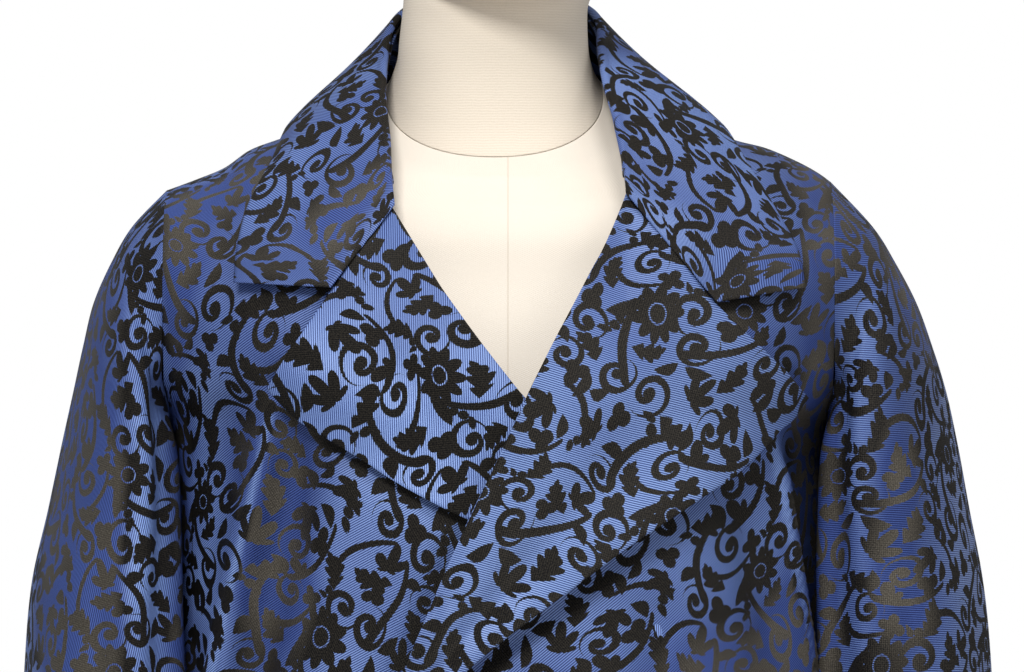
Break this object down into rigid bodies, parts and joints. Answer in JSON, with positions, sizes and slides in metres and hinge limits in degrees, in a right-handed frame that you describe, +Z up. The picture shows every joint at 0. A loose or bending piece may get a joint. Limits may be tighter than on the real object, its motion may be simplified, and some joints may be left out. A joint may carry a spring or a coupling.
{
  "type": "opera coat on dress form",
  "caption": "Long floral-brocade opera coat with notched collar and wide lapels, wrapped left over right, on a limbless dress form with pole and round base.",
  "frame": {"origin": "centre of the round base's underside", "axes": "+Z up, the coat faces -Y, the wearer's left is +X"},
  "size_m": [0.676, 0.499, 1.71],
  "materials": {
    "silk_brocade": "blue silk twill with a near-black floral scroll brocade",
    "form_cover": "cream cotton cover",
    "form_jersey": "cream fine-ribbed jersey",
    "stand_metal": "satin"
  },
  "bodies": {
    "root": {"front_left": "silk_brocade", "front_right": "silk_brocade", "back": "silk_brocade", "sleeve_left": "silk_brocade", "sleeve_right": "silk_brocade", "lapel_left": "silk_brocade", "lapel_right": "silk_brocade", "collar_fall": "silk_brocade", "collar_stand": "silk_brocade", "form_torso": "form_cover", "form_neck_head": "form_jersey", "stand_pole": "stand_metal", "stand_base": "stand_metal"}
  },
  "joints": []
}
